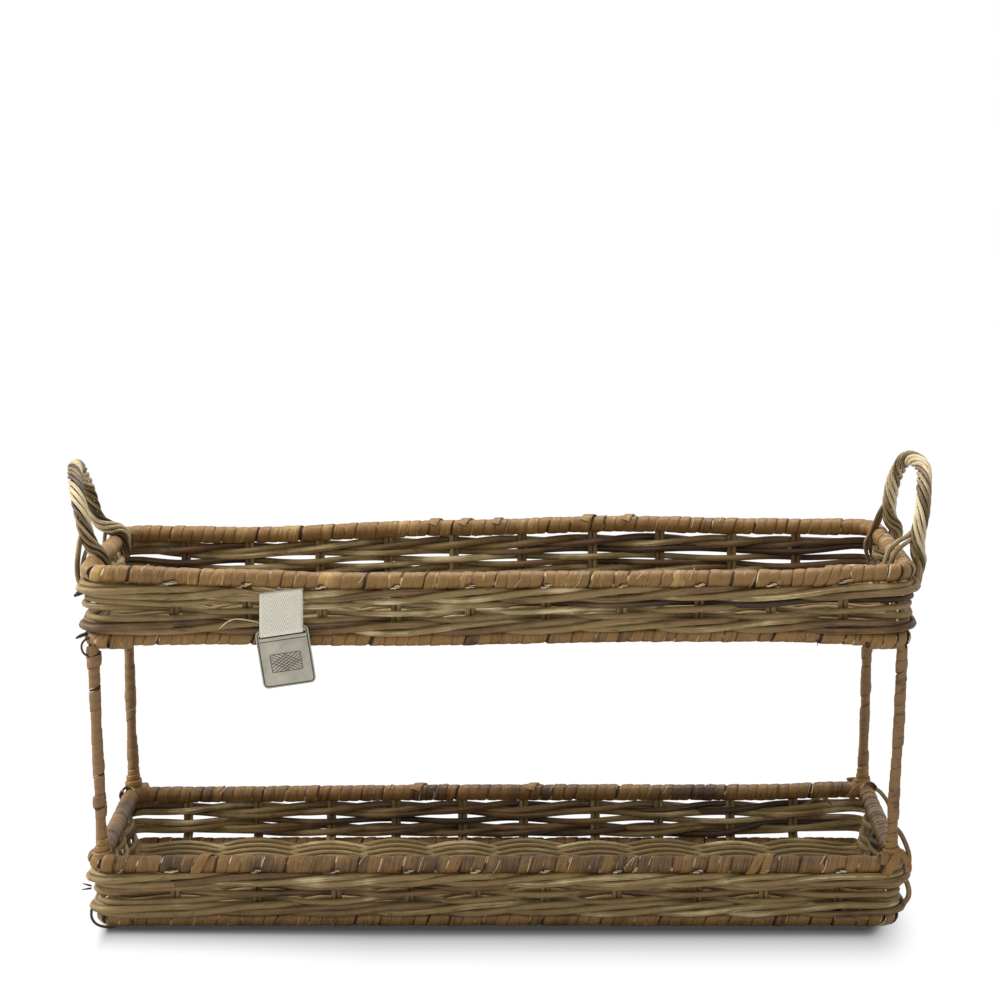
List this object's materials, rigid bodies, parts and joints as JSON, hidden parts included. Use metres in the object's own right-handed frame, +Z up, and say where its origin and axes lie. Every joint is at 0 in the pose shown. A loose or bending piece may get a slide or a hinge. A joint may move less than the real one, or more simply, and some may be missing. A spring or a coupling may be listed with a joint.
{
  "type": "tiered rattan tray",
  "caption": "Long woven rattan tray on two tiers, with corner posts, a rope handle at each short end and a hang tag on a cloth loop.",
  "frame": {"origin": "middle of the footprint, on the surface that the lower base hoop stands on", "axes": "+X along the length, to the right in the picture; +Y to the back; +Z up"},
  "size_m": [0.6434, 0.2416, 0.3369],
  "materials": {
    "peel": "split rattan peel, dry and slightly glossy on its skin side",
    "rod": "round rattan rod, unvarnished, grey brown",
    "floor_rod": "round rattan rod, unvarnished, paler on top",
    "handle_rod": "thin rattan rods twisted into a rope, unvarnished",
    "cotton_tape": "herringbone cotton tape, undyed",
    "tag_metal": "thin stamped plate, matt, with a dark printed border"
  },
  "bodies": {
    "basket": {"lower_base_hoop": "peel", "lower_rim": "peel", "lower_base_wale": "rod", "lower_rim_wale": "rod", "lower_woven_row_1": "rod", "lower_woven_row_2": "rod", "lower_woven_row_3": "rod", "lower_rib_1": "rod", "lower_rib_2": "rod", "lower_rib_3": "rod", "lower_rib_4": "rod", "lower_rib_5": "rod", "lower_rib_6": "rod", "lower_rib_7": "rod", "lower_rib_8": "rod", "lower_rib_9": "rod", "lower_rib_10": "rod", "lower_left_stake_1": "rod", "lower_left_stake_2": "rod", "lower_left_stake_3": "rod", "lower_right_stake_1": "rod", "lower_right_stake_2": "rod", "lower_right_stake_3": "rod", "lower_floor_weave": "floor_rod", "front_left_post": "peel", "front_right_post": "peel", "back_left_post": "peel", "back_right_post": "peel", "front_left_post_binding": "peel", "front_right_post_binding": "peel", "back_left_post_binding": "peel", "back_right_post_binding": "peel", "upper_base_hoop": "peel", "upper_rim": "peel", "upper_base_wale": "rod", "upper_rim_wale": "rod", "upper_woven_row_1": "rod", "upper_woven_row_2": "rod", "upper_woven_row_3": "rod", "upper_rib_1": "rod", "upper_rib_2": "rod", "upper_rib_3": "rod", "upper_rib_4": "rod", "upper_rib_5": "rod", "upper_rib_6": "rod", "upper_rib_7": "rod", "upper_rib_8": "rod", "upper_rib_9": "rod", "upper_rib_10": "rod", "upper_left_stake_1": "rod", "upper_left_stake_2": "rod", "upper_left_stake_3": "rod", "upper_right_stake_1": "rod", "upper_right_stake_2": "rod", "upper_right_stake_3": "rod", "upper_floor_weave": "floor_rod", "right_handle": "handle_rod", "left_handle": "handle_rod"},
    "tape": {"tag_tape": "cotton_tape"},
    "plate": {"tag_plate": "tag_metal"}
  },
  "joints": [
    {"name": "tape_swing", "type": "hinge", "parent": "basket", "child": "tape", "pos_m": [-0.155, -0.11521, 0.2488], "axis": [-1, 0, 0], "range_deg": [0, 85]},
    {"name": "plate_swing", "type": "hinge", "parent": "tape", "child": "plate", "pos_m": [-0.155, -0.12031, 0.2242], "axis": [-0.989, 0, -0.1478], "range_deg": [-15, 100]}
  ]
}
